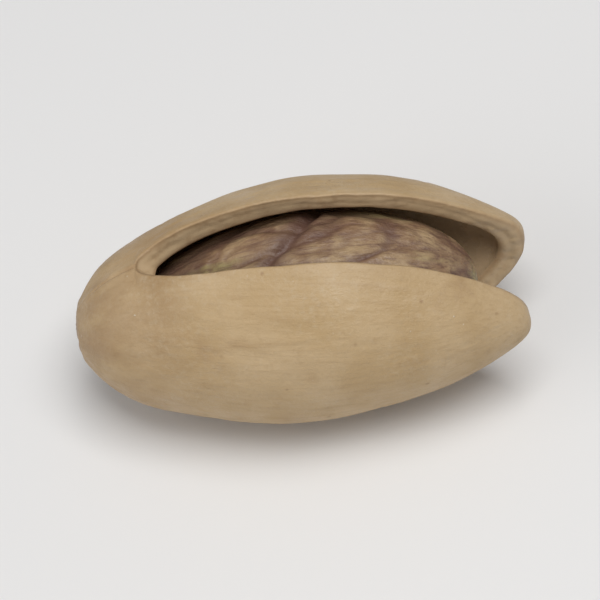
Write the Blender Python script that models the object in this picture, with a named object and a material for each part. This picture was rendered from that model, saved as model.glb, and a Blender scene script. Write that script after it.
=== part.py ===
"""A pistachio in its shell, lying on its back with the split in the shell turned up.

X runs from the stem end (-X) to the tip (+X), Y across the two halves of the shell, Z up.
The origin is on the surface that the nut rests on, under the middle of its box.
Shapes are worked out in millimetres and put into the scene in metres.

Every point of the shell has a place along the nut, from -1 at the stem end to +1 at the tip, and an
angle round it, from 0 at the upper seam to pi at the lower seam, on one side or the other.
"""

import bmesh
import bpy
import numpy as np

METRES = 0.001

# The shell as a whole
HALF_LENGTH = 11.05
HALF_HEIGHT = 5.65
HALF_WIDTH = 5.05
STEM_FULLER = 0.075
END_POWER = 0.515
END_POWER_SLOPE = 0.105
END_POWER_BEND = 0.03
TIP_BLUNTNESS = 0.17
TIP_ROUND = 0.5
STEM_TAPER = 0.06
STEM_DROP = 0.5
SIDEWAYS_BEND = 0.12
BEND_TURNS = 2.6
BEND_START = 0.4
SIDE_SWELL = 0.012
SWELL_TURNS = 3.4
SWELL_START = 0.5
SWELL_SIDE_START = 2.0
WALL = 0.9
WALL_AT_ENDS = 1.3

# The split: where it starts along each seam, and how wide it stands
UPPER_SPLIT_START = -0.66
LOWER_SPLIT_START = 0.32
SPLIT_GAP = 3.9
GAP_QUICKNESS = 4.3
GAP_ROUNDNESS = 0.58
SPREAD_REACH = 0.36
SPREAD_POWER = 1.6
LOWER_GAP_POWER = 1.5
HINGE_DROP = 0.25

# Small forms on the outside
UPPER_RIDGE = 0.13
LOWER_RIDGE = 0.05
RIDGE_ANGLE = 0.11
BEAK = 0.03
BEAK_REACH = 0.1
SCAR_RADIUS = 1.15
SCAR_DEPTH = 0.12
SCAR_RING = 0.05
SCAR_RING_WIDTH = 0.3

# How deep the flat spot that it rests on is cut
FLAT_DEPTH = 0.22

# The kernel
KERNEL_HALF_LENGTH = 8.6
KERNEL_HALF_HEIGHT = 4.3
KERNEL_HALF_WIDTH = 4.05
KERNEL_OPENING = 0.1
KERNEL_UNDERSIDE = 0.08
KERNEL_MIDDLE = 0.1
KERNEL_LIFT = 0.05
KERNEL_TIP_LIFT = 0.35
KERNEL_END_POWER = 0.51
KERNEL_GROOVE = 0.2
KERNEL_GROOVE_ANGLE = 0.16
KERNEL_WRINKLE = 0.06
KERNEL_WRINKLES = 9
KERNEL_WRINKLE_TURN = 2.5

# How fine the faces are
ROWS_BEFORE_SPLIT = 9
ROWS_TO_LOWER_SPLIT = 15
ROWS_TO_TIP = 14
COLUMNS = 15
SEAM_CROWDING = 0.65
KERNEL_ROWS = 30
KERNEL_COLUMNS = 28
WELD = 1e-4

# Finish
SHELL_COLOUR = (0.52, 0.36, 0.20, 1.0)
SHELL_ROUGHNESS = 0.55
KERNEL_COLOUR = (0.22, 0.12, 0.06, 1.0)
KERNEL_ROUGHNESS = 0.6
SHARP_FROM = 50


def bell(value, width):
    """A smooth bump: 1 where the value is 0, falling away over the width."""
    return np.exp(-(value / width) ** 2)


def fullness(along):
    """How full the nut is, 1 in the middle and 0 at its ends: blunter at the stem than at the tip."""
    power = END_POWER + END_POWER_SLOPE * along + END_POWER_BEND * along ** 2
    power = power - TIP_BLUNTNESS * np.maximum(along, 0) ** 8
    power = power + STEM_TAPER * np.maximum(-along, 0) ** 8
    return np.clip(1 - along ** 2, 0, 1) ** power * (1 - STEM_FULLER * along)


def centre_line(along):
    """Height and sideways place of the nut's middle: it droops at the stem and bends a little."""
    droop = -STEM_DROP * ((1 - along) / 2) ** 4
    sideways = SIDEWAYS_BEND * np.sin(BEND_TURNS * along + BEND_START) * (1 - along ** 2)
    return droop, sideways


def upper_split(along):
    """How far the halves have spread at the upper gap, and how much of it is worn off their edges.

    The gap opens quickly to its full width, and the halves spread slowly: the rest is worn edge.
    """
    share = np.clip((along - UPPER_SPLIT_START) / (1 - UPPER_SPLIT_START), 0, 1)
    gap = SPLIT_GAP * (1 - (1 - share) ** GAP_QUICKNESS) ** GAP_ROUNDNESS
    slow = 1 - np.exp(-(share / SPREAD_REACH) ** SPREAD_POWER)
    spread = SPLIT_GAP * slow / (1 - np.exp(-SPREAD_REACH ** -SPREAD_POWER))
    spread = np.minimum(spread, gap)
    return spread, gap - spread


def lower_split(along):
    """Width of the lower gap, a narrow V that opens towards the tip."""
    share = np.clip((along - LOWER_SPLIT_START) / (1 - LOWER_SPLIT_START), 0, 1)
    return SPLIT_GAP * share ** LOWER_GAP_POWER


def rows_along():
    """Places of the rows, crowded at the ends, with a row where each split starts."""
    starts = np.arccos([-UPPER_SPLIT_START, -LOWER_SPLIT_START])
    turns = np.concatenate([
        np.linspace(0, starts[0], ROWS_BEFORE_SPLIT, endpoint=False),
        np.linspace(starts[0], starts[1], ROWS_TO_LOWER_SPLIT, endpoint=False),
        np.linspace(starts[1], np.pi, ROWS_TO_TIP + 1),
    ])
    return -np.cos(turns)


def columns_round():
    """Shares of the way from the upper edge of a half to its lower edge, crowded at both."""
    share = np.linspace(0, 1, COLUMNS + 1)
    eased = 0.5 * (1 - np.cos(np.pi * share))
    return (1 - SEAM_CROWDING) * share + SEAM_CROWDING * eased


def half_surface(side, inside):
    """Grid of points on the outer or inner face of one half of the shell.

    Round the nut the section is an ellipse. The angle starts where the worn edge leaves it, a small
    ridge stands along each seam, and the half is pushed out by the spreading of the two gaps.
    """
    along, share = np.meshgrid(rows_along(), columns_round(), indexing="ij")
    full = fullness(along)
    droop, sideways = centre_line(along)
    spread, worn = upper_split(along)
    lower_spread = lower_split(along)
    height = HALF_HEIGHT - inside * WALL
    width = HALF_WIDTH - inside * WALL

    half_worn = 0.5 * worn / np.maximum(width * full, WELD)
    first = np.arcsin(np.clip(half_worn, 0, 1))
    angle = first + (np.pi - first) * share
    wave = np.sin(SWELL_TURNS * along + SWELL_START + SWELL_SIDE_START * side)
    upper_ridge = UPPER_RIDGE * bell(angle - first, RIDGE_ANGLE)
    lower_ridge = LOWER_RIDGE * bell(angle - np.pi, RIDGE_ANGLE)
    swell = 1 + SIDE_SWELL * np.sin(angle) ** 2 * wave
    swell = swell + (1 - inside) * (upper_ridge + lower_ridge) / height

    upper = (1 + np.cos(angle)) / 2
    across = width * full * swell * np.sin(angle) + 0.5 * (spread * upper + lower_spread * (1 - upper))
    hinge = HINGE_DROP * (spread - lower_spread) * width / height
    up = droop + height * full * swell * np.cos(angle) - hinge * np.sin(angle)
    length = HALF_LENGTH - inside * WALL_AT_ENDS
    lengthways = length * along + (1 - inside) * end_forms(along, full)
    across = across + (1 - inside) * tip_rounding(along)
    return np.stack([lengthways, side * across + sideways, up], axis=-1)


def end_forms(along, full):
    """Lengthways moves of the outer face: a small beak at the tip, a sunk scar and its ring at the stem."""
    radius = HALF_WIDTH * full
    beak = BEAK * bell(full, BEAK_REACH)
    inwards = np.clip(radius / SCAR_RADIUS, 0, 1)
    scar = SCAR_DEPTH * (1 - inwards ** 2 * (3 - 2 * inwards))
    ring = SCAR_RING * bell(radius - SCAR_RADIUS - SCAR_RING_WIDTH, SCAR_RING_WIDTH)
    return np.where(along > 0, beak, scar - ring)


def tip_rounding(along):
    """How far the outer faces draw apart at the tip: a quarter circle that rounds each half's corner."""
    depth = np.clip(1 - HALF_LENGTH * (1 - along) / TIP_ROUND, 0, 1)
    return TIP_ROUND * (1 - np.sqrt(1 - depth ** 2))


def kernel_surface():
    """Grid of points on the kernel: a long egg with shallow wrinkles and a groove above and below.

    It is a little wider above where the halves have spread, flatter below, and lies with its tip end up.
    """
    turns = np.linspace(0, np.pi, KERNEL_ROWS + 1)
    round_it = np.linspace(0, 2 * np.pi, KERNEL_COLUMNS, endpoint=False)
    along, angle = np.meshgrid(-np.cos(turns), round_it, indexing="ij")
    full = np.clip(1 - along ** 2, 0, 1) ** KERNEL_END_POWER
    groove = KERNEL_GROOVE * bell(np.sin(angle), KERNEL_GROOVE_ANGLE)
    wrinkle = KERNEL_WRINKLE * np.sin(KERNEL_WRINKLES * angle + KERNEL_WRINKLE_TURN * along)
    radius = 1 + (wrinkle - groove) / KERNEL_HALF_HEIGHT
    lengthways = KERNEL_MIDDLE + KERNEL_HALF_LENGTH * along
    droop, sideways = centre_line(lengthways / HALF_LENGTH)
    spread, _ = upper_split(lengthways / HALF_LENGTH)
    upper = (1 + np.cos(angle)) / 2
    width = KERNEL_HALF_WIDTH * radius + KERNEL_OPENING * 0.5 * spread * upper
    height = KERNEL_HALF_HEIGHT * radius * (1 - KERNEL_UNDERSIDE * (1 - upper))
    across = width * full * np.sin(angle) + sideways
    up = height * full * np.cos(angle) + droop + KERNEL_LIFT + KERNEL_TIP_LIFT * along
    return np.stack([lengthways, across, up], axis=-1)


def add_grid(bm, points):
    """Add a grid of points and the faces between them. Returns the rows of its vertices."""
    rows = [[bm.verts.new(point) for point in row] for row in points]
    for row, after in zip(rows, rows[1:]):
        for index in range(len(row) - 1):
            bm.faces.new([row[index], after[index], after[index + 1], row[index + 1]])
    return rows


def add_rim(bm, outer, inner, column, first_row):
    """Join the outer and inner faces of a half along one edge, from a row to the tip."""
    for row in range(first_row, len(outer) - 1):
        out, back = outer[row][column], inner[row][column]
        bm.faces.new([out, outer[row + 1][column], inner[row + 1][column], back])


def weld(bm):
    """Join the points that lie on each other, then turn every face outwards."""
    bmesh.ops.remove_doubles(bm, verts=bm.verts, dist=WELD)
    bmesh.ops.recalc_face_normals(bm, faces=bm.faces)


def shell_mesh():
    """The whole shell: two halves, joined where they aren't split, with walls and open edges."""
    bm = bmesh.new()
    upper_row = ROWS_BEFORE_SPLIT
    lower_row = ROWS_BEFORE_SPLIT + ROWS_TO_LOWER_SPLIT
    for side in (-1, 1):
        outer = add_grid(bm, half_surface(side, 0))
        inner = add_grid(bm, half_surface(side, 1))
        add_rim(bm, outer, inner, 0, upper_row)
        add_rim(bm, outer, inner, COLUMNS, lower_row)
    weld(bm)
    return bm


def kernel_mesh():
    """The kernel, closed round and at both ends."""
    points = kernel_surface()
    bm = bmesh.new()
    add_grid(bm, np.concatenate([points, points[:, :1]], axis=1))
    weld(bm)
    return bm


def resting_shift(bm):
    """Move that puts the middle of the nut's box over the origin and sinks its lowest spot."""
    points = np.array([vert.co for vert in bm.verts])
    middle = 0.5 * (points.min(axis=0) + points.max(axis=0))
    return -middle[0], -middle[1], -points[:, 2].min() - FLAT_DEPTH


def cut_flat_spot(bm):
    """Take off what is below the resting surface and close the cut with one flat face."""
    geometry = bm.verts[:] + bm.edges[:] + bm.faces[:]
    bmesh.ops.bisect_plane(bm, geom=geometry, dist=WELD, plane_co=(0, 0, 0), plane_no=(0, 0, 1),
                           clear_inner=True)
    rim = [edge for edge in bm.edges if edge.is_boundary]
    bmesh.ops.holes_fill(bm, edges=rim, sides=0)


def material(name, colour, roughness):
    """A plain Principled material."""
    made = bpy.data.materials.new(name)
    made.use_nodes = True
    shader = made.node_tree.nodes["Principled BSDF"]
    shader.inputs["Base Color"].default_value = colour
    shader.inputs["Roughness"].default_value = roughness
    shader.inputs["Metallic"].default_value = 0.0
    return made


def add_object(name, bm, made):
    """Put a mesh into the scene in metres, as a named object with its material."""
    bmesh.ops.scale(bm, vec=(METRES, METRES, METRES), verts=bm.verts)
    mesh = bpy.data.meshes.new(name)
    bm.to_mesh(mesh)
    bm.free()
    mesh.materials.append(made)
    mesh.shade_smooth()
    mesh.set_sharp_from_angle(angle=np.radians(SHARP_FROM))
    bpy.context.scene.collection.objects.link(bpy.data.objects.new(name, mesh))


def main():
    """Clear the scene and make the shell and the kernel in it."""
    for leftover in list(bpy.data.objects):
        bpy.data.objects.remove(leftover)
    shell = shell_mesh()
    kernel = kernel_mesh()
    shift = resting_shift(shell)
    bmesh.ops.translate(shell, vec=shift, verts=shell.verts)
    bmesh.ops.translate(kernel, vec=shift, verts=kernel.verts)
    cut_flat_spot(shell)
    add_object("shell", shell, material("shell_wood", SHELL_COLOUR, SHELL_ROUGHNESS))
    add_object("kernel", kernel, material("kernel_skin", KERNEL_COLOUR, KERNEL_ROUGHNESS))


main()
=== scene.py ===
"""A roasted pistachio in its shell, dressed for a close studio picture.

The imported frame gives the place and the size. The shell and the kernel are worked out here as surfaces
in millimetres, put into meshes in metres, and finished with node materials.

X runs from the stem end (-X) to the tip (+X), Y across the halves of the shell, Z up through the split.
Every point of the shell has a place along the nut, from -1 at the stem end to +1 at the tip, and an
angle round it, from 0 at the upper seam to pi at the lower seam, on one side or the other.
"""

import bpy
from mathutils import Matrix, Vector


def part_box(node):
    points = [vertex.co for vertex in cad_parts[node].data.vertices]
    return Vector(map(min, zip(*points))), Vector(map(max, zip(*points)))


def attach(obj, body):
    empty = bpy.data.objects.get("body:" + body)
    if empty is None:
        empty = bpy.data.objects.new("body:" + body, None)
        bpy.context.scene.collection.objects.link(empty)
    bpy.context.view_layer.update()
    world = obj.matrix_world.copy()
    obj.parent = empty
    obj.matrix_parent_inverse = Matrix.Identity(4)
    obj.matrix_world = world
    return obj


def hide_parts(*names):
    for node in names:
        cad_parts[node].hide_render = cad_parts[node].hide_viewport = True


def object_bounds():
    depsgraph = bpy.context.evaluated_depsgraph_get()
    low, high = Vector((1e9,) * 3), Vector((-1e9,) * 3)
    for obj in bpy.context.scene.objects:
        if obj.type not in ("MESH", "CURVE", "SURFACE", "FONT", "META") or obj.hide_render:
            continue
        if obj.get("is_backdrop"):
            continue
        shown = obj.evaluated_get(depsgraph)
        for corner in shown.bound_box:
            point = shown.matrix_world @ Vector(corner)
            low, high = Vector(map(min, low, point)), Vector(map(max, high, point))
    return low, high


bl_info = {
    "name": "Pistachio in its shell",
    "version": (1, 0, 0),
    "blender": (4, 5, 0),
    "location": "3D View > Sidebar > Pistachio",
    "description": "Makes the shell, the kernel and the studio round a packed pistachio",
    "category": "Add Mesh",
}

import itertools
import math
from collections import namedtuple
from types import SimpleNamespace

import bmesh
import bpy
import numpy as np
from bpy.props import FloatProperty, FloatVectorProperty, IntProperty, PointerProperty
from mathutils import Matrix, Vector

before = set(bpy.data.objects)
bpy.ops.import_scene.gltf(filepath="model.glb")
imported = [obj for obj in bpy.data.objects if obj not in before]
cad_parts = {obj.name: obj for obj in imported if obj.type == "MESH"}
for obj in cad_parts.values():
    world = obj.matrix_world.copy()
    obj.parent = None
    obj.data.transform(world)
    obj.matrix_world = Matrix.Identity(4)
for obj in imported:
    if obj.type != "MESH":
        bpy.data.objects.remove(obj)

MM = 0.001
WELD = 2e-7
TINY = 1e-6
LATTICE = 32
BODY = "root"
SHELL_MARKS = ("stem", "tip", "start", "seam", "scar", "inside", "lip")
# The kernel's marks are painted shade in its creases and painted shade along its fold
KERNEL_MARKS = ("hollow", "bruise")

# Random patterns: size of the lumps in millimetres, seed, layers
Pattern = namedtuple("Pattern", "cell seed layers")
RAGGED_EDGES = Pattern(2.2, 11, 2)
DENTS = Pattern(5.5, 21, 3)
FURROWS = Pattern(0.85, 31, 3)
PITS = Pattern(0.55, 41, 1)
TORN_SCAR = Pattern(0.45, 45, 3)
INSIDE_WAVES = Pattern(2.5, 51, 1)
SKIN_BENDS = Pattern(2.4, 61, 1)
CREASES = Pattern(1.5, 62, 1)
SMALL_CREASES = Pattern(1.1, 63, 1)
WRINKLES = Pattern(0.7, 64, 3)
FOLD_WANDER = Pattern(1.0, 65, 1)
GROOVE_WANDER = Pattern(1.9, 71, 1)
EDGE_GRAIN = Pattern(0.55, 72, 2)

# Places that follow the grain: radius round the nut and stretch along it, in millimetres
Grain = namedtuple("Grain", "radius stretch")
OUTSIDE_GRAIN = Grain(5.0, 11.0)
FURROW_GRAIN = Grain(5.0, 1.8)
INSIDE_GRAIN = Grain(4.0, 11.0)
KERNEL_GRAIN = Grain(4.0, 8.0)
GRAIN_NARROWING = 0.35


# Settings that a user would change

def length(name, description, millimetres):
    """A length in metres, given in millimetres."""
    return FloatProperty(name=name, description=description, default=millimetres * MM,
                         unit="LENGTH", precision=5)


def share(name, description, value):
    """A plain number without a unit."""
    return FloatProperty(name=name, description=description, default=value)


def turn(name, description, degrees):
    """An angle in radians, given in degrees."""
    return FloatProperty(name=name, description=description, default=math.radians(degrees),
                         subtype="ANGLE", unit="ROTATION")


def colour(name, description, red, green, blue):
    """A linear colour."""
    return FloatVectorProperty(name=name, description=description, default=(red, green, blue),
                               subtype="COLOR", size=3, min=0, max=1)


def count(name, description, value):
    """A whole number."""
    return IntProperty(name=name, description=description, default=value, min=3)


class ShellForm(bpy.types.PropertyGroup):
    """The shell as a whole."""
    half_length: length("Half length", "From the middle to either end", 11.05)
    half_height: length("Half height", "From the middle line to a seam", 5.65)
    half_width: length("Half width", "From the middle line to a side, before the halves spread", 5.05)
    stem_fuller: share("Fuller at the stem", "How much fuller the stem end is than the tip", 0.075)
    end_power: share("End power", "Bluntness of the ends: lower is blunter", 0.515)
    end_power_slope: share("End power slope", "How much finer the tip is than the stem end", 0.105)
    end_power_bend: share("End power bend", "How much finer both ends are than the middle", 0.03)
    tip_bluntness: share("Tip bluntness", "How much the last of the tip is blunted", 0.17)
    stem_taper: share("Stem taper", "How much the last of the stem end is drawn out", 0.06)
    stem_drop: length("Stem drop", "How far the stem end droops", 0.5)
    sideways_bend: length("Sideways bend", "How far the nut bends to one side", 0.12)
    side_swell: share("Side swell", "Uneven fullness of the two sides", 0.012)
    wall: length("Wall", "Thickness of the shell", 0.9)
    wall_at_ends: length("Wall at ends", "Thickness of the shell at its ends", 1.3)


class SplitForm(bpy.types.PropertyGroup):
    """The split along the upper seam, over the tip and part of the way along the lower seam."""
    upper_start: share("Upper start", "Place along the nut where it starts above", -0.66)
    lower_start: share("Lower start", "Place along the nut where it starts below", 0.32)
    gap: length("Gap", "Full width of the split", 3.9)
    quickness: share("Quickness", "How soon the upper split reaches its full width", 4.3)
    roundness: share("Roundness", "How round the upper split's start is: lower is rounder", 0.58)
    reach: share("Reach", "Share of the split over which the halves spread", 0.36)
    reach_power: share("Reach power", "How gently the halves begin to spread", 1.6)
    lower_power: share("Lower power", "How gently the lower split opens", 1.5)
    hinge_drop: share("Hinge drop", "How far the sides sink as the halves spread", 0.25)
    lip: length("Lip", "How far the broken edges are rounded", 0.17)
    lip_at_tip: length("Lip at tip", "How far their outer side is rounded at the tip", 0.55)
    lip_reach: share("Lip reach", "How far that rounding spreads from the tip", 0.3)
    lip_groove: share("Lip groove", "Depth of the edges' groove, as a share of their rounding", 0.16)
    lip_grain: share("Lip grain", "Unevenness of the edges, as such a share", 0.22)
    ragged: length("Ragged", "How uneven the broken edges are", 0.05)


class ShellRelief(bpy.types.PropertyGroup):
    """Small forms on the outside of the shell."""
    upper_ridge: length("Upper ridge", "Height of the ridge along the upper seam", 0.13)
    lower_ridge: length("Lower ridge", "Height of the ridge along the lower seam", 0.05)
    ridge_angle: share("Ridge angle", "Half width of the ridges, as an angle", 0.11)
    seam_groove: length("Seam groove", "Depth of the fine line along a closed seam", 0.1)
    seam_groove_angle: share("Seam groove angle", "Half width of that line, as an angle", 0.02)
    beak: length("Beak", "Length of the small point at the tip", 0.03)
    beak_reach: share("Beak reach", "How far the point spreads into the tip", 0.3)
    scar_radius: length("Scar radius", "Radius of the stem's scar", 1.15)
    scar_depth: length("Scar depth", "Depth of the scar", 0.13)
    scar_ring: length("Scar ring", "Height of the ring round the scar", 0.05)
    scar_ring_width: length("Scar ring width", "Half width of that ring", 0.3)
    scar_roughness: length("Scar roughness", "Height of the scar's unevenness", 0.1)
    dents: length("Dents", "Height of the broad unevenness", 0.14)
    furrows: length("Furrows", "Depth of the furrows that run from the stem", 0.06)
    pits: length("Pits", "Depth of the small pits", 0.03)


class KernelForm(bpy.types.PropertyGroup):
    """The seed inside."""
    half_length: length("Half length", "From the middle to either end", 8.6)
    half_height: length("Half height", "From the middle to the top", 4.3)
    half_width: length("Half width", "From the middle to a side", 4.05)
    opening: share("Opening", "How much it widens above with the split", 0.1)
    underside: share("Underside", "How much lower it is below its middle than above", 0.08)
    middle: length("Middle", "Place of its middle along the nut", 0.1)
    lift: length("Lift", "Height of its middle over the shell's", 0.05)
    tip_lift: length("Tip lift", "How far its tip end is raised and its stem end sunk", 0.35)
    end_power: share("End power", "Bluntness of the ends: lower is blunter", 0.51)
    groove: length("Groove", "Depth of the groove above and below", 0.2)
    groove_angle: share("Groove angle", "Half width of that groove, as an angle", 0.16)
    creases: length("Creases", "Depth of the creases in the skin", 0.16)
    wrinkles: length("Wrinkles", "Height of the fine wrinkles in the skin", 0.065)
    fold: length("Fold", "Depth of the dark fold that slants over the top", 0.32)
    fold_width: share("Fold width", "Half width of that fold, as a share of the half length", 0.045)


class Fineness(bpy.types.PropertyGroup):
    """How many faces the surfaces have."""
    rows_before_split: count("Rows before split", "Rows from the stem end to the upper split", 48)
    rows_to_lower_split: count("Rows to lower split", "Rows on to the start of the lower split", 104)
    rows_to_tip: count("Rows to tip", "Rows on to the tip", 88)
    outer_columns: count("Outer columns", "Columns round each half, outside", 136)
    inner_columns: count("Inner columns", "Columns round each half, inside", 32)
    lip_columns: count("Lip columns", "Columns across a broken edge", 16)
    kernel_rows: count("Kernel rows", "Rows along the kernel", 240)
    kernel_columns: count("Kernel columns", "Columns round the kernel", 260)


class Finish(bpy.types.PropertyGroup):
    """Colours of the shell and of the kernel's skin."""
    tan: colour("Tan", "The shell's main colour", 0.47, 0.322, 0.160)
    pale_tan: colour("Pale tan", "The shell's lighter clouds", 0.54, 0.389, 0.218)
    deep_tan: colour("Deep tan", "The shell's darker streaks", 0.36, 0.228, 0.104)
    stain: colour("Stain", "Brown stains near the stem and the seams", 0.27, 0.15, 0.07)
    scar: colour("Scar", "Where the stem was", 0.33, 0.21, 0.11)
    bloom: colour("Bloom", "Pale dust of salt", 0.64, 0.55, 0.41)
    inside: colour("Inside", "The smooth inner face", 0.54, 0.39, 0.235)
    lip: colour("Lip", "The broken edges", 0.54, 0.396, 0.234)
    skin: colour("Skin", "The kernel's brown skin", 0.26, 0.155, 0.085)
    # The dark skin colour also serves as the painted shade in the creases and along the fold
    dark_skin_and_shade: colour("Dark skin", "Creases and veins of the skin", 0.12, 0.06, 0.045)
    pale_skin: colour("Pale skin", "Ridges of the skin", 0.42, 0.29, 0.16)
    green: colour("Green", "Where the skin is worn thin over the seed", 0.34, 0.29, 0.12)
    floor: colour("Floor", "The studio floor", 0.80, 0.79, 0.775)


class Studio(bpy.types.PropertyGroup):
    """Camera, lights and floor."""
    azimuth: turn("Azimuth", "Direction that the camera looks in, from +Y", 10.0)
    elevation: turn("Elevation", "How far the camera looks down", 53.5)
    roll: turn("Roll", "How far the picture is turned", 14.5)
    lens: FloatProperty(name="Lens", description="Focal length", default=250.0, unit="CAMERA")
    field: length("Field", "Width of what the camera sees", 29.0)
    key: FloatProperty(name="Key", description="Main light, from above", default=0.68, unit="POWER")
    fill: FloatProperty(name="Fill", description="Soft light from the front", default=0.3, unit="POWER")
    air: share("Air", "Strength of the light from all round", 0.27)


def in_millimetres(group):
    """A plain copy of a group of settings, with its lengths in millimetres."""
    values = {}
    for rule in group.bl_rna.properties:
        if rule.identifier not in ("rna_type", "name"):
            value = getattr(group, rule.identifier)
            values[rule.identifier] = value / MM if getattr(rule, "unit", "") == "LENGTH" else value
    return SimpleNamespace(**values)


# Numbers on arrays

def bell(value, width):
    """A smooth bump: 1 where the value is 0, falling away over the width."""
    return np.exp(-(value / width) ** 2)


def eased(value):
    """A smooth step from 0 to 1, level at both ends."""
    value = np.clip(value, 0, 1)
    return value * value * (3 - 2 * value)


def rise(value, start, end):
    """A smooth step from 0 at the start to 1 at the end, whichever is higher."""
    return eased((value - start) / (end - start))


def lattice_noise(points, cell, seed):
    """Smooth random heights between -1 and 1.

    Each point blends the random values at the eight corners of its cell of a cubic lattice, by an
    eased share of its way between them. The lattice repeats after a number of cells.
    """
    values = np.random.default_rng(seed).uniform(-1, 1, (LATTICE,) * 3)
    corner = np.floor(points / cell).astype(int)
    way = eased(points / cell - corner)
    total = np.zeros(points.shape[:-1])
    for steps in itertools.product((0, 1), repeat=3):
        index = (corner + steps) % LATTICE
        weight = np.prod(np.where(steps, way, 1 - way), axis=-1)
        total += weight * values[index[..., 0], index[..., 1], index[..., 2]]
    return total


def layered_noise(points, pattern):
    """A sum of lattice noises, each half as large and half as high as the one before."""
    total = np.zeros(points.shape[:-1])
    for layer in range(pattern.layers):
        share = 0.5 ** layer
        total += share * lattice_noise(points, share * pattern.cell, pattern.seed + layer)
    return total


def along_the_grain(along, angle, side, kind):
    """Places for patterns that run lengthways and meet at both seams and at both ends.

    The place along the nut is multiplied by the stretch. The angle goes round a circle whose radius
    narrows towards the ends, more slowly than the nut does, so that the patterns draw together there.
    """
    radius = kind.radius * np.clip(1 - along ** 2, 0, 1) ** GRAIN_NARROWING
    return np.stack([along * kind.stretch, radius * side * np.sin(angle), radius * np.cos(angle)], axis=-1)


# The shell's shape

LAST_OF_END = 8  # Power that keeps a change near an end
DROOP_POWER = 4
BEND_WAVE, BEND_MIDDLE = 2.6, 0.4  # Radians over half the nut, and at its middle
SWELL_WAVE, SWELL_MIDDLE, SWELL_SIDE = 3.4, 0.5, 2.0
CROWDING = 0.65  # Share of the spacing that follows a cosine
LIP_SHARE = 0.3  # Most of a gap that one edge's rounding takes up
EDGES_APART = 3.0  # Keeps the two halves' noise apart, in millimetres
RELIEF_FADE = 3.0  # Relief fades out where the fullness is under a third
FURROWS_RISE, FURROWS_LEAST = (-0.1, -0.8), 0.45  # They deepen between these places, from this share
PITS_RISE = (0.35, 0.75)  # Noise between which a pit deepens
ARC_POWER = 2.6  # 2 is a round arc, more is flatter
GROOVE_PLACE, GROOVE_WIDTH, GROOVE_BEND = 0.45, 0.13, 0.14  # Shares of the way across an edge
EDGE_GRAIN_STRETCH = np.array([0.6, 1, 1])
ONLY_LENGTHWAYS = np.array([1, 0, 0])


def fullness(form, along):
    """How full the nut is: (1 - along squared) to a power that grows from the stem end to the tip."""
    power = form.end_power + form.end_power_slope * along + form.end_power_bend * along ** 2
    power = power - form.tip_bluntness * np.maximum(along, 0) ** LAST_OF_END
    power = power + form.stem_taper * np.maximum(-along, 0) ** LAST_OF_END
    return np.clip(1 - along ** 2, 0, 1) ** power * (1 - form.stem_fuller * along)


def centre_line(form, along):
    """Height and sideways place of the nut's middle: a fourth-power droop, and a slow sine sideways."""
    droop = -form.stem_drop * ((1 - along) / 2) ** DROOP_POWER
    sideways = form.sideways_bend * np.sin(BEND_WAVE * along + BEND_MIDDLE) * (1 - along ** 2)
    return droop, sideways


def upper_split(split, along):
    """How far the halves have spread at the upper gap, and how much of the gap is worn edge.

    The gap is 1 - (1 - share) to a high power, so that it soon reaches its full width. The spread is
    1 - exp(-share to a power), which starts gently.
    """
    way = np.clip((along - split.upper_start) / (1 - split.upper_start), 0, 1)
    gap = split.gap * (1 - (1 - way) ** split.quickness) ** split.roundness
    slow = 1 - np.exp(-(way / split.reach) ** split.reach_power)
    spread = split.gap * slow / (1 - np.exp(-split.reach ** -split.reach_power))
    spread = np.minimum(spread, gap)
    return spread, gap - spread


def lower_split(split, along):
    """Width of the lower gap: a power of the share of the way from its start to the tip."""
    way = np.clip((along - split.lower_start) / (1 - split.lower_start), 0, 1)
    return split.gap * way ** split.lower_power


def rows_along(split, fine):
    """Places of the rows: minus the cosine of even turns, with a row where each split starts."""
    starts = np.arccos([-split.upper_start, -split.lower_start])
    turns = np.concatenate([
        np.linspace(0, starts[0], fine.rows_before_split, endpoint=False),
        np.linspace(starts[0], starts[1], fine.rows_to_lower_split, endpoint=False),
        np.linspace(starts[1], np.pi, fine.rows_to_tip + 1),
    ])
    return -np.cos(turns)


def columns_round(columns):
    """Shares of the way across a strip of faces, crowded at both its edges by a cosine."""
    way = np.linspace(0, 1, columns + 1)
    return (1 - CROWDING) * way + CROWDING * 0.5 * (1 - np.cos(np.pi * way))


def end_forms(form, relief, along, full):
    """Lengthways moves of the outer face: a beak at the tip, a sunk scar and its ring at the stem."""
    radius = form.half_width * full
    beak = relief.beak * bell(full, relief.beak_reach)
    scar = relief.scar_depth * (1 - eased(radius / relief.scar_radius))
    from_ring = radius - relief.scar_radius - relief.scar_ring_width
    ring = relief.scar_ring * bell(from_ring, relief.scar_ring_width)
    return np.where(along > 0, beak, scar - ring)


def tip_nearness(form, split, along):
    """Nearness to the tip: a bump of the fullness."""
    return (along > 0) * bell(fullness(form, along), split.lip_reach)


def lip_sizes(form, split, along, inside):
    """How far the upper and the lower edge are rounded.

    It is at most a share of the gap, and on the outside it grows towards the tip.
    """
    more = (1 - inside) * tip_nearness(form, split, along)
    size = split.lip + (split.lip_at_tip - split.lip) * more
    gaps = sum(upper_split(split, along)), lower_split(split, along)
    return tuple(np.minimum(size, LIP_SHARE * gap) for gap in gaps)


def seam_relief(relief, seams):
    """Heights along the seams, as bumps of the angle from each: a ridge, and a line where it is closed."""
    height = 0
    for ridge, from_seam, closed in seams:
        height = height + ridge * bell(from_seam, relief.ridge_angle)
        height = height - relief.seam_groove * closed * bell(from_seam, relief.seam_groove_angle)
    return height


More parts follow.
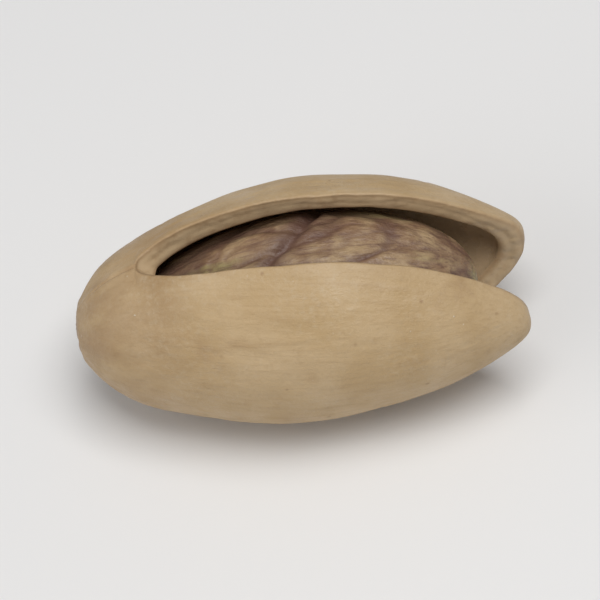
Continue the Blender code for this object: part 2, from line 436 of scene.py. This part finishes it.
def half_surface(shape, along, way, side, inside, height_of_relief=0.0):
    """Grid of points on the outer or inner face of one half, with the angle of each point.

    The section is an ellipse whose angle starts where the worn edge leaves it. Ridges and relief
    swell it, and the spreading of the gaps pushes it outwards. The rounded edges take their room from
    the ellipse, and at the tip, where it narrows, push it outwards.
    """
    form, split, relief = shape.form, shape.split, shape.relief
    full = fullness(form, along)
    droop, sideways = centre_line(form, along)
    spread, worn = upper_split(split, along)
    lower_spread = lower_split(split, along)
    upper_lip, lower_lip = lip_sizes(form, split, along, inside)
    near_tip = tip_nearness(form, split, along)
    height = form.half_height - inside * form.wall
    width = form.half_width - inside * form.wall

    places = along * form.half_length, np.full_like(along, EDGES_APART * side), np.zeros_like(along)
    ragged = split.ragged * layered_noise(np.stack(places, axis=-1), RAGGED_EDGES)
    ragged = ragged * full * np.clip(spread + worn, 0, 1)
    safe = np.maximum(width * full, TINY)
    first = np.arcsin(np.clip((0.5 * worn + upper_lip * (1 - near_tip) + ragged) / safe, 0, 1))
    last = np.pi - np.arcsin(np.clip(lower_lip * (1 - near_tip) / safe, 0, 1))
    angle = first + (last - first) * way

    wave = np.sin(SWELL_WAVE * along + SWELL_MIDDLE + SWELL_SIDE * side)
    swell = 1 + form.side_swell * np.sin(angle) ** 2 * wave + height_of_relief / height
    if not inside:
        upper_seam = relief.upper_ridge, angle - first, upper_lip <= 0
        lower_seam = relief.lower_ridge, last - angle, lower_lip <= 0
        swell = swell + seam_relief(relief, (upper_seam, lower_seam)) / height

    upper = (1 + np.cos(angle)) / 2
    across = width * full * swell * np.sin(angle) + 0.5 * (spread * upper + lower_spread * (1 - upper))
    across = across + near_tip * (upper_lip * upper + lower_lip * (1 - upper))
    hinge = split.hinge_drop * (spread - lower_spread) * width / height
    up = droop + height * full * swell * np.cos(angle) - hinge * np.sin(angle)
    lengthways = (form.half_length - inside * form.wall_at_ends) * along
    if not inside:
        lengthways = lengthways + end_forms(form, relief, along, full)
    return np.stack([lengthways, side * across + sideways, up], axis=-1), angle


def outer_relief(shape, points, along, angle, side):
    """Heights of the outside's unevenness: broad dents, furrows that fade from the stem, small pits."""
    relief = shape.relief
    dents = relief.dents * layered_noise(points, DENTS)
    near_stem = FURROWS_LEAST + (1 - FURROWS_LEAST) * rise(along, *FURROWS_RISE)
    furrows = np.abs(layered_noise(along_the_grain(along, angle, side, FURROW_GRAIN), FURROWS))
    furrows = -relief.furrows * furrows * near_stem
    pits = -relief.pits * rise(layered_noise(points, PITS), *PITS_RISE)
    return (dents + furrows + pits) * np.clip(fullness(shape.form, along) * RELIEF_FADE, 0, 1)


def lip_surface(split, way, line, outer_lip, inner_lip, side):
    """Grid of points across a broken edge, from straight lines between its outer and its inner side.

    Each line bulges into the gap by a flattened arc, as far as the edge is rounded there, with a
    shallow groove that wanders along its middle, and a grain of fine noise.
    """
    arc = (1 - np.abs(2 * way - 1) ** ARC_POWER) ** (1 / ARC_POWER)
    rounding = outer_lip[:, None] * (1 - way) + inner_lip[:, None] * way
    groove_place = GROOVE_PLACE + GROOVE_BEND * layered_noise(line * ONLY_LENGTHWAYS, GROOVE_WANDER)
    groove = split.lip_groove * bell(way - groove_place, GROOVE_WIDTH)
    grain = split.lip_grain * layered_noise(line * EDGE_GRAIN_STRETCH, EDGE_GRAIN)
    line[..., 1] -= side * rounding * arc * (1 - groove + grain)
    return line


def between_edges(first, second, way):
    """Grid of straight lines from each value of the first edge to that of the second."""
    return first[:, None] + (second - first)[:, None] * way[None, :, None]


# Meshes

STEM_RISE, TIP_RISE = (-0.35, -1.0), (0.6, 1.0)  # Places between which the ends' marks grow
START_BEYOND, START_REACH, START_ANGLE = 0.12, 0.12, 1.1  # Dark patch by the upper split's start
SEAM_ANGLES, INSIDE_SEAM_ANGLE = (0.12, 0.03), 0.2  # Half widths of the seams' marks
SEAM_SHARE, SEAM_OPEN = 0.6, 0.3  # Strength of such a mark, and what an open gap leaves of it
INSIDE_WAVE = 0.05  # Height of the inner face's unevenness, in millimetres
EDGE_MARK_POWER = 6  # How soon the mark of a broken edge is full
SKIN_FADE, SKIN_GROOVE_FADE = 2.5, 1.5  # How soon both start from the ends
SKIN_BEND = 0.9  # How far the creases wander, in millimetres
CREASE_STRETCH, WRINKLE_STRETCH = np.array([0.3, 1, 1]), np.array([0.45, 1, 1])
CREASE_WIDTH, SMALL_CREASE_WIDTH, SMALL_CREASE_SCALE = 0.16, 0.2, 1.9
CREASE_SHARE, SMALL_CREASE_SHARE, SKIN_LIFT = 0.7, 0.35, 0.4  # Shares of the creases' depth
SMALL_CREASE_SHADE = 0.5  # How much painted shade a small crease gets beside a large one
FOLD_PLACE, FOLD_SLANT, FOLD_BEND = -0.06, 0.34, 0.02  # Shares of the kernel's half length
FOLD_FADE = 1.6  # How soon the fold starts from the sides
FOLD_SHADE_SPREAD = 2.6  # Width of the painted shade along the fold, beside the fold's own width


def grid_faces(rows, columns, start):
    """Corner numbers of the faces of a grid whose points are numbered row by row from the start."""
    index = start + np.arange(rows * columns).reshape(rows, columns)
    corners = [index[:-1, :-1], index[1:, :-1], index[1:, 1:], index[:-1, 1:]]
    return np.stack(corners, axis=-1).reshape(-1, 4)


def mesh_from_patches(name, patches, mark_names):
    """Join grids of points in metres, with their grain places and marks, into one closed mesh."""
    faces, start = [], 0
    for points, _, _ in patches:
        rows, columns = points.shape[:2]
        faces.append(grid_faces(rows, columns, start))
        start += rows * columns
    points, grain, marks = (
        np.concatenate([grid.reshape(-1, grid.shape[-1]) for grid in grids]) for grids in zip(*patches)
    )
    mesh = bpy.data.meshes.new(name)
    mesh.from_pydata(points.tolist(), [], np.concatenate(faces).tolist())
    layer = mesh.attributes.new("grain", "FLOAT_VECTOR", "POINT")
    layer.data.foreach_set("vector", grain.astype(np.float32).ravel())
    for mark_name, values in zip(mark_names, marks.T):
        layer = mesh.attributes.new(mark_name, "FLOAT", "POINT")
        layer.data.foreach_set("value", np.ascontiguousarray(values, np.float32))

    bm = bmesh.new()
    bm.from_mesh(mesh)
    bmesh.ops.remove_doubles(bm, verts=bm.verts, dist=WELD)
    bmesh.ops.recalc_face_normals(bm, faces=bm.faces)
    loose = sum(not edge.is_manifold for edge in bm.edges)
    bm.to_mesh(mesh)
    bm.free()
    if loose:
        raise RuntimeError(f"{name} has {loose} edges that aren't closed")
    mesh.shade_smooth()
    return mesh


def to_metres(points, shift):
    """Points in metres in the frame's place, flattened where they would sink into the floor."""
    placed = (points + shift) * MM
    placed[..., 2] = np.maximum(placed[..., 2], 0)
    return placed


def shape_from(scene):
    """Every setting of the nut's shape, in millimetres."""
    parts = "form", "split", "relief", "kernel", "fine"
    return SimpleNamespace(**{part: in_millimetres(getattr(scene, f"pistachio_{part}")) for part in parts})


def grid_of_half(rows, columns):
    """Place along the nut and share of the way round at each point of a half's grid."""
    return np.meshgrid(rows, columns_round(columns), indexing="ij")


def shell_shift(shape):
    """Move that puts the middle and top of the smooth outside where the frame's shell has them."""
    low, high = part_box("shell")
    along, way = grid_of_half(rows_along(shape.split, shape.fine), shape.fine.outer_columns)
    halves = [half_surface(shape, along, way, side, 0)[0] for side in (-1, 1)]
    points = np.concatenate(halves).reshape(-1, 3)
    middle = 0.5 * (points.min(axis=0) + points.max(axis=0))
    return np.array([
        (low.x + high.x) / 2 / MM - middle[0],
        (low.y + high.y) / 2 / MM - middle[1],
        high.z / MM - points[:, 2].max(),
    ])


def seam_mark(split, along, angle, width):
    """Nearness to a seam: a bump of the angle from either edge, fainter where it is open."""
    upper_left = 1 - (1 - SEAM_OPEN) * eased(sum(upper_split(split, along)))
    lower_left = 1 - (1 - SEAM_OPEN) * eased(lower_split(split, along))
    return bell(angle - angle[:, :1], width) * upper_left + bell(angle - angle[:, -1:], width) * lower_left


def shell_marks(along, **marks):
    """The shell's marks in their order: the ends' own, those given, and nought otherwise."""
    marks["stem"], marks["tip"] = rise(along, *STEM_RISE), rise(along, *TIP_RISE)
    return np.stack([marks.get(name, 0) + np.zeros_like(along) for name in SHELL_MARKS], axis=-1)


def outside_patch(shape, rows, side):
    """The outside of one half: points in millimetres, grain places and marks."""
    form, split, relief = shape.form, shape.split, shape.relief
    along, way = grid_of_half(rows, shape.fine.outer_columns)
    smooth, angle = half_surface(shape, along, way, side, 0)
    height = outer_relief(shape, smooth, along, angle, side)
    points, angle = half_surface(shape, along, way, side, 0, height)
    scar = (along < 0) * bell(form.half_width * fullness(form, along), relief.scar_radius)
    points[..., 0] += relief.scar_roughness * layered_noise(smooth, TORN_SCAR) * scar
    start = bell(along - split.upper_start - START_BEYOND, START_REACH) * bell(angle, START_ANGLE)
    seam = SEAM_SHARE * sum(seam_mark(split, along, angle, width) for width in SEAM_ANGLES)
    marks = shell_marks(along, start=start, seam=seam, scar=scar)
    return points, along_the_grain(along, angle, side, OUTSIDE_GRAIN), marks


def inside_patch(shape, rows, side):
    """The inside of one half: points in millimetres, grain places and marks."""
    along, way = grid_of_half(rows, shape.fine.inner_columns)
    smooth, angle = half_surface(shape, along, way, side, 1)
    fade = np.clip(fullness(shape.form, along) * RELIEF_FADE, 0, 1)
    height = INSIDE_WAVE * layered_noise(smooth, INSIDE_WAVES) * fade
    points, angle = half_surface(shape, along, way, side, 1, height)
    marks = shell_marks(along, seam=seam_mark(shape.split, along, angle, INSIDE_SEAM_ANGLE), inside=1)
    return points, along_the_grain(along, angle, side, INSIDE_GRAIN), marks


def shell_patches(shape):
    """The shell's grids: outside, inside and the broken edges of each half."""
    fine = shape.fine
    rows = rows_along(shape.split, fine)
    way = columns_round(fine.lip_columns)
    first_rows = fine.rows_before_split, fine.rows_before_split + fine.rows_to_lower_split
    outer_lips, inner_lips = (lip_sizes(shape.form, shape.split, rows, inside) for inside in (0, 1))
    patches = []
    for side in (-1, 1):
        outer, inner = outside_patch(shape, rows, side), inside_patch(shape, rows, side)
        patches += [outer, inner]
        for column, row, outer_lip, inner_lip in zip((0, -1), first_rows, outer_lips, inner_lips):
            edges = zip(*([grid[row:, column] for grid in patch] for patch in (outer, inner)))
            line, grain, marks = (between_edges(first, second, way) for first, second in edges)
            points = lip_surface(shape.split, way, line, outer_lip[row:], inner_lip[row:], side)
            marks[..., SHELL_MARKS.index("lip")] = 1 - (2 * way - 1) ** EDGE_MARK_POWER
            patches.append((points, grain, marks))
    shift = shell_shift(shape)
    return [(to_metres(points, shift), grain, marks) for points, grain, marks in patches]


def kernel_skin(kernel, along, angle, grain):
    """Heights of the kernel's skin, and its marks: painted shade in its creases, and painted shade along
    its fold.

    A crease lies where a noise that runs along the grain passes through nought. Its place is bent
    by a slower noise, so that the creases wander. The fold is a bump beside a line that slants over
    the top.
    """
    bent = grain + SKIN_BEND * layered_noise(grain, SKIN_BENDS)[..., None]
    squeezed = bent * CREASE_STRETCH
    crease = bell(layered_noise(squeezed, CREASES), CREASE_WIDTH)
    small_crease = bell(layered_noise(squeezed * SMALL_CREASE_SCALE, SMALL_CREASES), SMALL_CREASE_WIDTH)
    wrinkle = layered_noise(bent * WRINKLE_STRETCH, WRINKLES)
    from_fold = along - FOLD_PLACE - FOLD_SLANT * np.sin(angle)
    from_fold = from_fold + FOLD_BEND * layered_noise(bent, FOLD_WANDER)
    on_top = eased(np.cos(angle) * FOLD_FADE)
    height = kernel.wrinkles * wrinkle - kernel.fold * bell(from_fold, kernel.fold_width) * on_top
    height = height - kernel.creases * (CREASE_SHARE * crease + SMALL_CREASE_SHARE * small_crease)
    # Painted shade in the creases, fainter in the small ones
    hollow = np.clip(crease + SMALL_CREASE_SHADE * small_crease, 0, 1)
    # Painted shade beside the fold, wider than the fold, only on the top
    bruise = bell(from_fold, FOLD_SHADE_SPREAD * kernel.fold_width) * on_top
    return height, np.stack([hollow, bruise], axis=-1)


def kernel_patch(shape):
    """The kernel's grid: a long egg round the shell's middle line, swelled by the height of its skin.

    It is grooved above and below, and widens above with the split.
    """
    form, kernel, fine = shape.form, shape.kernel, shape.fine
    turns = np.linspace(0, np.pi, fine.kernel_rows + 1)
    round_it = np.linspace(0, 2 * np.pi, fine.kernel_columns + 1)
    round_it[-1] = 0
    along, angle = np.meshgrid(-np.cos(turns), round_it, indexing="ij")
    full = np.clip(1 - along ** 2, 0, 1) ** kernel.end_power
    grain = along_the_grain(along, angle, 1, KERNEL_GRAIN)
    skin, marks = kernel_skin(kernel, along, angle, grain)
    skin = skin * np.clip(full * SKIN_FADE, 0, 1)
    groove = kernel.groove * bell(np.sin(angle), kernel.groove_angle) * eased(full * SKIN_GROOVE_FADE)
    radius = 1 + (skin + SKIN_LIFT * kernel.creases - groove) / kernel.half_height

    lengthways = kernel.middle + kernel.half_length * along
    droop, sideways = centre_line(form, lengthways / form.half_length)
    spread, _ = upper_split(shape.split, lengthways / form.half_length)
    upper = (1 + np.cos(angle)) / 2
    width = kernel.half_width * radius + kernel.opening * 0.5 * spread * upper
    height = kernel.half_height * radius * (1 - kernel.underside * (1 - upper))
    across = width * full * np.sin(angle) + sideways
    up = height * full * np.cos(angle) + droop + kernel.lift + kernel.tip_lift * along
    return to_metres(np.stack([lengthways, across, up], axis=-1), shell_shift(shape)), grain, marks


# Materials

MIX_AMOUNT, MIX_UNDER, MIX_OVER, MIX_COLOUR = 0, 6, 7, 2  # Places of the Mix node's colour sockets


class Nodes:
    """A material's nodes. Inputs are numbers, colours or other nodes' outputs, by name or by place."""

    def __init__(self, name):
        self.material = bpy.data.materials.new(name)
        self.material.use_nodes = True
        self.tree = self.material.node_tree
        self.shader = self.tree.nodes["Principled BSDF"]

    def give(self, target, inputs):
        """Set or link a node's inputs."""
        for key, value in inputs.items():
            if isinstance(value, bpy.types.NodeSocket):
                self.tree.links.new(value, target.inputs[key])
            else:
                target.inputs[key].default_value = value

    def add(self, kind, inputs, **settings):
        """Add a node with its settings and inputs."""
        made = self.tree.nodes.new("ShaderNode" + kind)
        for key, value in settings.items():
            setattr(made, key, value)
        self.give(made, inputs)
        return made

    def places(self):
        """Object coordinates in millimetres."""
        object_places = self.add("TexCoord", {}).outputs["Object"]
        scaled = self.add("Mapping", {"Vector": object_places, "Scale": (1 / MM,) * 3})
        return scaled.outputs["Vector"]

    def grain(self, squeeze):
        """The grain places, squeezed lengthways so that a pattern runs along the nut."""
        kept = self.add("Attribute", {}, attribute_name="grain").outputs["Vector"]
        return self.add("Mapping", {"Vector": kept, "Scale": (squeeze, 1, 1)}).outputs["Vector"]

    def marks(self, names):
        """The mesh's marks, each from 0 to 1, under their names."""
        kept = {name: self.add("Attribute", {}, attribute_name=name) for name in names}
        return SimpleNamespace(**{name: node.outputs["Fac"] for name, node in kept.items()})

    def noise(self, places, size, detail=3.0, roughness=0.5, distortion=0.0):
        """Noise whose lumps are about the size, in millimetres."""
        inputs = {"Vector": places, "Scale": 1 / size, "Detail": detail,
                  "Roughness": roughness, "Distortion": distortion}
        return self.add("TexNoise", inputs).outputs["Fac"]

    def shaken(self, places, size, millimetres):
        """The places moved about by noise, so that spots there lose their even outline."""
        moves = self.add("TexNoise", {"Vector": places, "Scale": 1 / size}).outputs["Color"]
        inputs = {0: moves, 1: (2 * millimetres,) * 3, 2: places}
        return self.add("VectorMath", inputs, operation="MULTIPLY_ADD").outputs["Vector"]

    def spots(self, places, size):
        """Distance to the nearest of scattered points that are about the size apart."""
        return self.add("TexVoronoi", {"Vector": places, "Scale": 1 / size}).outputs["Distance"]

    def between(self, value, low, high, start=0.0, end=1.0):
        """A share that goes from the start to the end as the value goes from low to high."""
        inputs = {"Value": value, "From Min": low, "From Max": high, "To Min": start, "To Max": end}
        return self.add("MapRange", inputs, interpolation_type="SMOOTHSTEP").outputs["Result"]

    def work(self, operation, first, second):
        """Arithmetic on two values."""
        return self.add("Math", {0: first, 1: second}, operation=operation).outputs[0]

    def times(self, first, second):
        """The product of two values."""
        return self.work("MULTIPLY", first, second)

    def plus(self, first, second):
        """The sum of two values."""
        return self.work("ADD", first, second)

    def larger(self, first, second):
        """The larger of two values."""
        return self.work("MAXIMUM", first, second)

    def mix(self, amount, under, over):
        """Blend two colours by the amount."""
        under, over = (
            value if isinstance(value, bpy.types.NodeSocket) else (*value, 1.0) for value in (under, over)
        )
        inputs = {MIX_AMOUNT: amount, MIX_UNDER: under, MIX_OVER: over}
        return self.add("Mix", inputs, data_type="RGBA").outputs[MIX_COLOUR]

    def cover(self, under, over, pattern, low, high, most=1.0):
        """Lay a colour over another: none where the pattern is low, the most where it is high."""
        return self.mix(self.between(pattern, low, high, end=most), under, over)

    def bump(self, height, millimetres, normal=None):
        """A bump of the height, which is from 0 to 1, over the one before it."""
        inputs = {"Height": height, "Distance": millimetres * MM, "Strength": 1.0}
        if normal is not None:
            inputs["Normal"] = normal
        return self.add("Bump", inputs).outputs["Normal"]


def shell_wood(nodes, look, finish):
    """The bare wood: pale clouds, most at the tip, darker streaks, mottles and hair lines, and darker
    patches by the upper split's start.
    """
    clouds = nodes.between(nodes.noise(look.places, size=4.0), 0.35, 0.7)
    clouds = nodes.larger(clouds, nodes.between(look.marks.tip, 0.0, 1.0, end=0.9))
    surface = nodes.mix(clouds, finish.tan, finish.pale_tan)
    surface = nodes.cover(surface, finish.deep_tan, look.streaks, 0.5, 0.78, most=0.4)
    mottle = nodes.noise(look.places, size=0.5, roughness=0.6)
    surface = nodes.cover(surface, finish.deep_tan, mottle, 0.5, 0.8, most=0.3)
    surface = nodes.cover(surface, finish.deep_tan, look.hairs, 0.5, 0.72, most=0.24)
    # Darker in patches by the upper split's start
    patchy = nodes.between(nodes.noise(look.grain, size=1.1, detail=4.0), 0.3, 0.6, 0.55, 0.95)
    return nodes.mix(nodes.times(look.marks.start, patchy), surface, finish.deep_tan)


def shell_stains(nodes, look, finish, surface):
    """Brown stains: faint blots, streaks along the seams, and a darker stem end."""
    blots = nodes.noise(look.places, size=2.4, detail=4.0, roughness=0.6)
    blots = nodes.between(blots, 0.56, 0.75, end=0.28)
    by_seam = nodes.times(look.marks.seam, nodes.between(look.streaks, 0.35, 0.7, 0.1, 0.5))
    by_stem = nodes.between(nodes.noise(look.grain, size=1.3, detail=4.0), 0.3, 0.7, 0.05, 0.55)
    by_stem = nodes.times(look.marks.stem, by_stem)
    return nodes.mix(nodes.larger(nodes.larger(blots, by_seam), by_stem), surface, finish.stain)


def stem_scar(nodes, look, finish, surface):
    """The scar of the stem: a torn outline, brown, with a finely mottled middle."""
    torn = nodes.noise(look.places, size=0.5, detail=5.0, roughness=0.7)
    torn = nodes.plus(look.marks.scar, nodes.between(torn, 0.2, 0.8, -0.16, 0.16))
    mottle = nodes.noise(look.places, size=0.14, detail=4.0, roughness=0.7)
    middle = nodes.cover(finish.stain, finish.scar, mottle, 0.35, 0.65)
    surface = nodes.cover(surface, finish.stain, torn, 0.1, 0.5, most=0.4)
    return nodes.cover(surface, middle, torn, 0.3, 0.62, most=0.9)


def shell_specks(nodes, look, finish, surface):
    """Small dark specks, in some places only."""
    specks = nodes.between(nodes.spots(look.shaken, 1.1), 0.04, 0.13, 1.0, 0.0)
    some = nodes.between(nodes.noise(look.places, size=1.7, detail=1.0), 0.5, 0.65, end=0.6)
    return nodes.mix(nodes.times(specks, some), surface, finish.stain)


def salt_dust(nodes, look):
    """How much salt lies on the shell: dust in patches, and scattered grains."""
    dust = nodes.between(nodes.noise(look.places, size=0.3, detail=5.0, roughness=0.75), 0.4, 0.85)
    where = nodes.between(nodes.noise(look.places, size=3.2, detail=2.0), 0.35, 0.75, 0.1, 0.4)
    grains = nodes.between(nodes.spots(look.shaken, 0.45), 0.05, 0.15, 0.8, 0.0)
    grains = nodes.times(grains, nodes.between(nodes.noise(look.places, size=1.1, detail=2.0), 0.55, 0.7))
    return nodes.larger(nodes.times(dust, where), grains)


def shell_inside(nodes, look, finish, surface):
    """The smooth inner face, tinged along the grain and the seams."""
    tinge = nodes.between(nodes.noise(look.grain, size=1.6), 0.45, 0.75, end=0.55)
    tinge = nodes.larger(tinge, nodes.times(look.marks.seam, 0.5))
    return nodes.mix(look.marks.inside, surface, nodes.mix(tinge, finish.inside, finish.deep_tan))


def broken_edges(nodes, look, finish, surface):
    """The pale broken edges, with a thin brown line on either side, where the mark is half full."""
    lip = look.marks.lip
    broken = nodes.noise(look.places, size=0.5)
    broken = nodes.cover(finish.lip, finish.stain, broken, 0.45, 0.75, most=0.35)
    brink = nodes.times(lip, nodes.work("SUBTRACT", 1.0, lip))
    return nodes.mix(nodes.times(brink, 1.6), nodes.mix(lip, surface, broken), finish.stain)


def shell_roughness(nodes, look):
    """Uneven roughness, more in the dust and less on the inner face."""
    rough = nodes.between(nodes.noise(look.places, size=1.2), 0.3, 0.7, 0.42, 0.6)
    rough = nodes.plus(rough, nodes.times(look.dust, 0.15))
    return nodes.work("SUBTRACT", rough, nodes.times(look.marks.inside, 0.2))


def shell_bumps(nodes, look):
    """Fine lines and pores, fainter on the inner face and the edges, and the crust of the dust."""
    inner = nodes.larger(look.marks.inside, look.marks.lip)
    outside = nodes.between(inner, 0.0, 1.0, 1.0, 0.3)
    lines = nodes.plus(nodes.times(look.streaks, 0.8), nodes.times(look.hairs, 0.15))
    lined = nodes.bump(nodes.times(lines, outside), 0.1)
    pores = nodes.noise(look.places, size=0.16, roughness=0.6)
    pored = nodes.bump(nodes.times(pores, outside), 0.035, lined)
    return nodes.bump(look.dust, 0.02, pored)


def shell_material(finish):
    """Dry tan nutshell with stains, a scar, specks and a dust of salt, smoother and plainer inside."""
    nodes = Nodes("shell_wood")
    look = SimpleNamespace(places=nodes.places(), grain=nodes.grain(0.22), marks=nodes.marks(SHELL_MARKS))
    look.streaks = nodes.noise(look.grain, size=0.9, detail=4.0, roughness=0.6, distortion=0.3)
    look.hairs = nodes.noise(nodes.grain(0.06), size=0.2, detail=2.0, distortion=0.2)
    look.shaken = nodes.shaken(look.places, 0.12, 0.06)
    look.dust = salt_dust(nodes, look)
    surface = shell_wood(nodes, look, finish)
    for layer in (shell_stains, stem_scar, shell_specks):
        surface = layer(nodes, look, finish, surface)
    surface = nodes.mix(look.dust, surface, finish.bloom)
    for layer in (shell_inside, broken_edges):
        surface = layer(nodes, look, finish, surface)
    nodes.give(nodes.shader, {"Base Color": surface, "Roughness": shell_roughness(nodes, look),
                              "Normal": shell_bumps(nodes, look), "Specular IOR Level": 0.4})
    return nodes.material


def kernel_material(finish):
    """Papery seed skin: mottled brown, green where worn, dark in its veins, with painted shade in its
    creases and along its fold.
    """
    nodes = Nodes("kernel_skin")
    places = nodes.places()
    grain = nodes.grain(0.35)
    marks = nodes.marks(KERNEL_MARKS)
    clouds = nodes.noise(places, size=1.6, detail=4.0, roughness=0.6)
    surface = nodes.cover(finish.skin, finish.pale_skin, clouds, 0.35, 0.65)
    worn = nodes.noise(grain, size=2.2, roughness=0.55, distortion=0.4)
    surface = nodes.cover(surface, finish.green, worn, 0.52, 0.66, most=0.75)
    veins = nodes.noise(grain, size=0.5, detail=5.0, roughness=0.65, distortion=0.5)
    surface = nodes.cover(surface, finish.dark_skin_and_shade, veins, 0.5, 0.7, most=0.6)
    threads = nodes.noise(nodes.grain(0.14), size=0.16, roughness=0.55, distortion=0.4)
    surface = nodes.cover(surface, finish.dark_skin_and_shade, threads, 0.48, 0.7, most=0.5)
    # Painted shade: darker in the creases and along the fold
    painted_shade = nodes.larger(nodes.times(marks.hollow, 0.7), nodes.times(marks.bruise, 0.92))
    surface = nodes.mix(painted_shade, surface, finish.dark_skin_and_shade)
    rough = nodes.between(nodes.noise(places, size=0.6), 0.3, 0.7, 0.36, 0.55)
    ridges = nodes.bump(nodes.plus(nodes.times(veins, 0.7), nodes.times(threads, -0.3)), 0.14)
    fine = nodes.bump(nodes.noise(places, size=0.14, roughness=0.6), 0.03, ridges)
    nodes.give(nodes.shader, {"Base Color": surface, "Roughness": rough, "Normal": fine,
                              "Specular IOR Level": 0.45})
    return nodes.material


def floor_material(finish):
    """Plain pale floor."""
    nodes = Nodes("studio_floor")
    nodes.give(nodes.shader, {"Base Color": (*finish.floor, 1.0), "Roughness": 0.7})
    return nodes.material


# Objects

FLOOR_SIZE = 1.5
KEY_SIZE, KEY_PLACE = 0.18, (0.06, -0.05, 0.30)
FILL_SIZE, FILL_PLACE = 0.30, (-0.26, -0.14, 0.18)
AIR_COLOUR = (0.93, 0.95, 1.0, 1.0)
CLIP_START = 0.01


def show_piece(name, mesh, material, node):
    """Put a piece into the scene in place of its frame node."""
    mesh.materials.append(material)
    piece = bpy.data.objects.new(name, mesh)
    bpy.context.scene.collection.objects.link(piece)
    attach(piece, BODY)
    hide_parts(node)


def soft_light(name, power, size, place, target):
    """A square light that faces the target."""
    lamp = bpy.data.lights.new(name, "AREA")
    lamp.energy = power
    lamp.size = size
    holder = bpy.data.objects.new(name, lamp)
    holder.location = place
    holder.rotation_euler = (Vector(target) - Vector(place)).to_track_quat("-Z", "Y").to_euler()
    bpy.context.scene.collection.objects.link(holder)


class PISTACHIO_OT_shell(bpy.types.Operator):
    """Make the shell: two halves grown together at the stem, split open round the tip"""
    bl_idname = "pistachio.shell"
    bl_label = "Shell"

    def execute(self, context):
        mesh = mesh_from_patches("nut_shell", shell_patches(shape_from(context.scene)), SHELL_MARKS)
        show_piece("nut_shell", mesh, shell_material(context.scene.pistachio_finish), "shell")
        return {"FINISHED"}


class PISTACHIO_OT_kernel(bpy.types.Operator):
    """Make the kernel in its wrinkled skin"""
    bl_idname = "pistachio.kernel"
    bl_label = "Kernel"

    def execute(self, context):
        mesh = mesh_from_patches("nut_kernel", [kernel_patch(shape_from(context.scene))], KERNEL_MARKS)
        show_piece("nut_kernel", mesh, kernel_material(context.scene.pistachio_finish), "kernel")
        return {"FINISHED"}


class PISTACHIO_OT_studio(bpy.types.Operator):
    """Make the floor, the lights and the camera"""
    bl_idname = "pistachio.studio"
    bl_label = "Studio"

    def execute(self, context):
        scene = context.scene
        studio = scene.pistachio_studio
        low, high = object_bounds()
        middle = (low + high) / 2

        bm = bmesh.new()
        bmesh.ops.create_grid(bm, x_segments=1, y_segments=1, size=FLOOR_SIZE)
        mesh = bpy.data.meshes.new("floor")
        bm.to_mesh(mesh)
        bm.free()
        mesh.materials.append(floor_material(scene.pistachio_finish))
        floor = bpy.data.objects.new("floor", mesh)
        scene.collection.objects.link(floor)
        floor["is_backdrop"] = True

        soft_light("key", studio.key, KEY_SIZE, KEY_PLACE, middle)
        soft_light("fill", studio.fill, FILL_SIZE, FILL_PLACE, middle)
        world = bpy.data.worlds.new("air")
        world.use_nodes = True
        air = world.node_tree.nodes["Background"]
        air.inputs["Color"].default_value = AIR_COLOUR
        air.inputs["Strength"].default_value = studio.air
        scene.world = world

        lens = bpy.data.cameras.new("camera")
        lens.lens = studio.lens
        lens.clip_start = CLIP_START
        camera = bpy.data.objects.new("camera", lens)
        camera.matrix_world = self.camera_place(studio, middle, lens.sensor_width)
        scene.collection.objects.link(camera)
        scene.camera = camera
        scene.view_settings.view_transform = "Standard"
        return {"FINISHED"}

    def camera_place(self, studio, target, sensor):
        """Place and turn of the camera: it looks at the target from its azimuth and elevation, rolled."""
        sine, cosine = math.sin(studio.azimuth), math.cos(studio.azimuth)
        level = math.cos(studio.elevation)
        back = Vector((sine * level, -cosine * level, math.sin(studio.elevation)))
        right = Vector((cosine, sine, 0))
        up = back.cross(right)
        right, up = (
            right * math.cos(studio.roll) - up * math.sin(studio.roll),
            right * math.sin(studio.roll) + up * math.cos(studio.roll),
        )
        place = Matrix((right, up, back)).transposed().to_4x4()
        place.translation = target + back * (studio.field * studio.lens / sensor)
        return place


class PISTACHIO_PT_panel(bpy.types.Panel):
    """Lists the nut's settings and the steps that make it"""
    bl_idname = "PISTACHIO_PT_panel"
    bl_label = "Pistachio"
    bl_space_type = "VIEW_3D"
    bl_region_type = "UI"
    bl_category = "Pistachio"

    def draw(self, context):
        for step in STEPS:
            self.layout.operator(step.bl_idname)
        for name, kind in SETTINGS.items():
            group = getattr(context.scene, name)
            box = self.layout.box()
            box.label(text=kind.__name__)
            for key in kind.__annotations__:
                box.prop(group, key)


SETTINGS = {
    "pistachio_form": ShellForm,
    "pistachio_split": SplitForm,
    "pistachio_relief": ShellRelief,
    "pistachio_kernel": KernelForm,
    "pistachio_fine": Fineness,
    "pistachio_finish": Finish,
    "pistachio_studio": Studio,
}
STEPS = (PISTACHIO_OT_shell, PISTACHIO_OT_kernel, PISTACHIO_OT_studio)
CLASSES = (*SETTINGS.values(), *STEPS, PISTACHIO_PT_panel)


def register():
    """Register the classes and give the scene its settings."""
    for kind in CLASSES:
        bpy.utils.register_class(kind)
    for name, kind in SETTINGS.items():
        setattr(bpy.types.Scene, name, PointerProperty(type=kind))


def unregister():
    """Take the settings and the classes away."""
    for name in SETTINGS:
        delattr(bpy.types.Scene, name)
    for kind in reversed(CLASSES):
        bpy.utils.unregister_class(kind)


def main():
    """Make the nut in its studio."""
    register()
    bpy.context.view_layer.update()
    bpy.ops.pistachio.shell()
    bpy.ops.pistachio.kernel()
    bpy.ops.pistachio.studio()


if __name__ == "__main__":
    main()
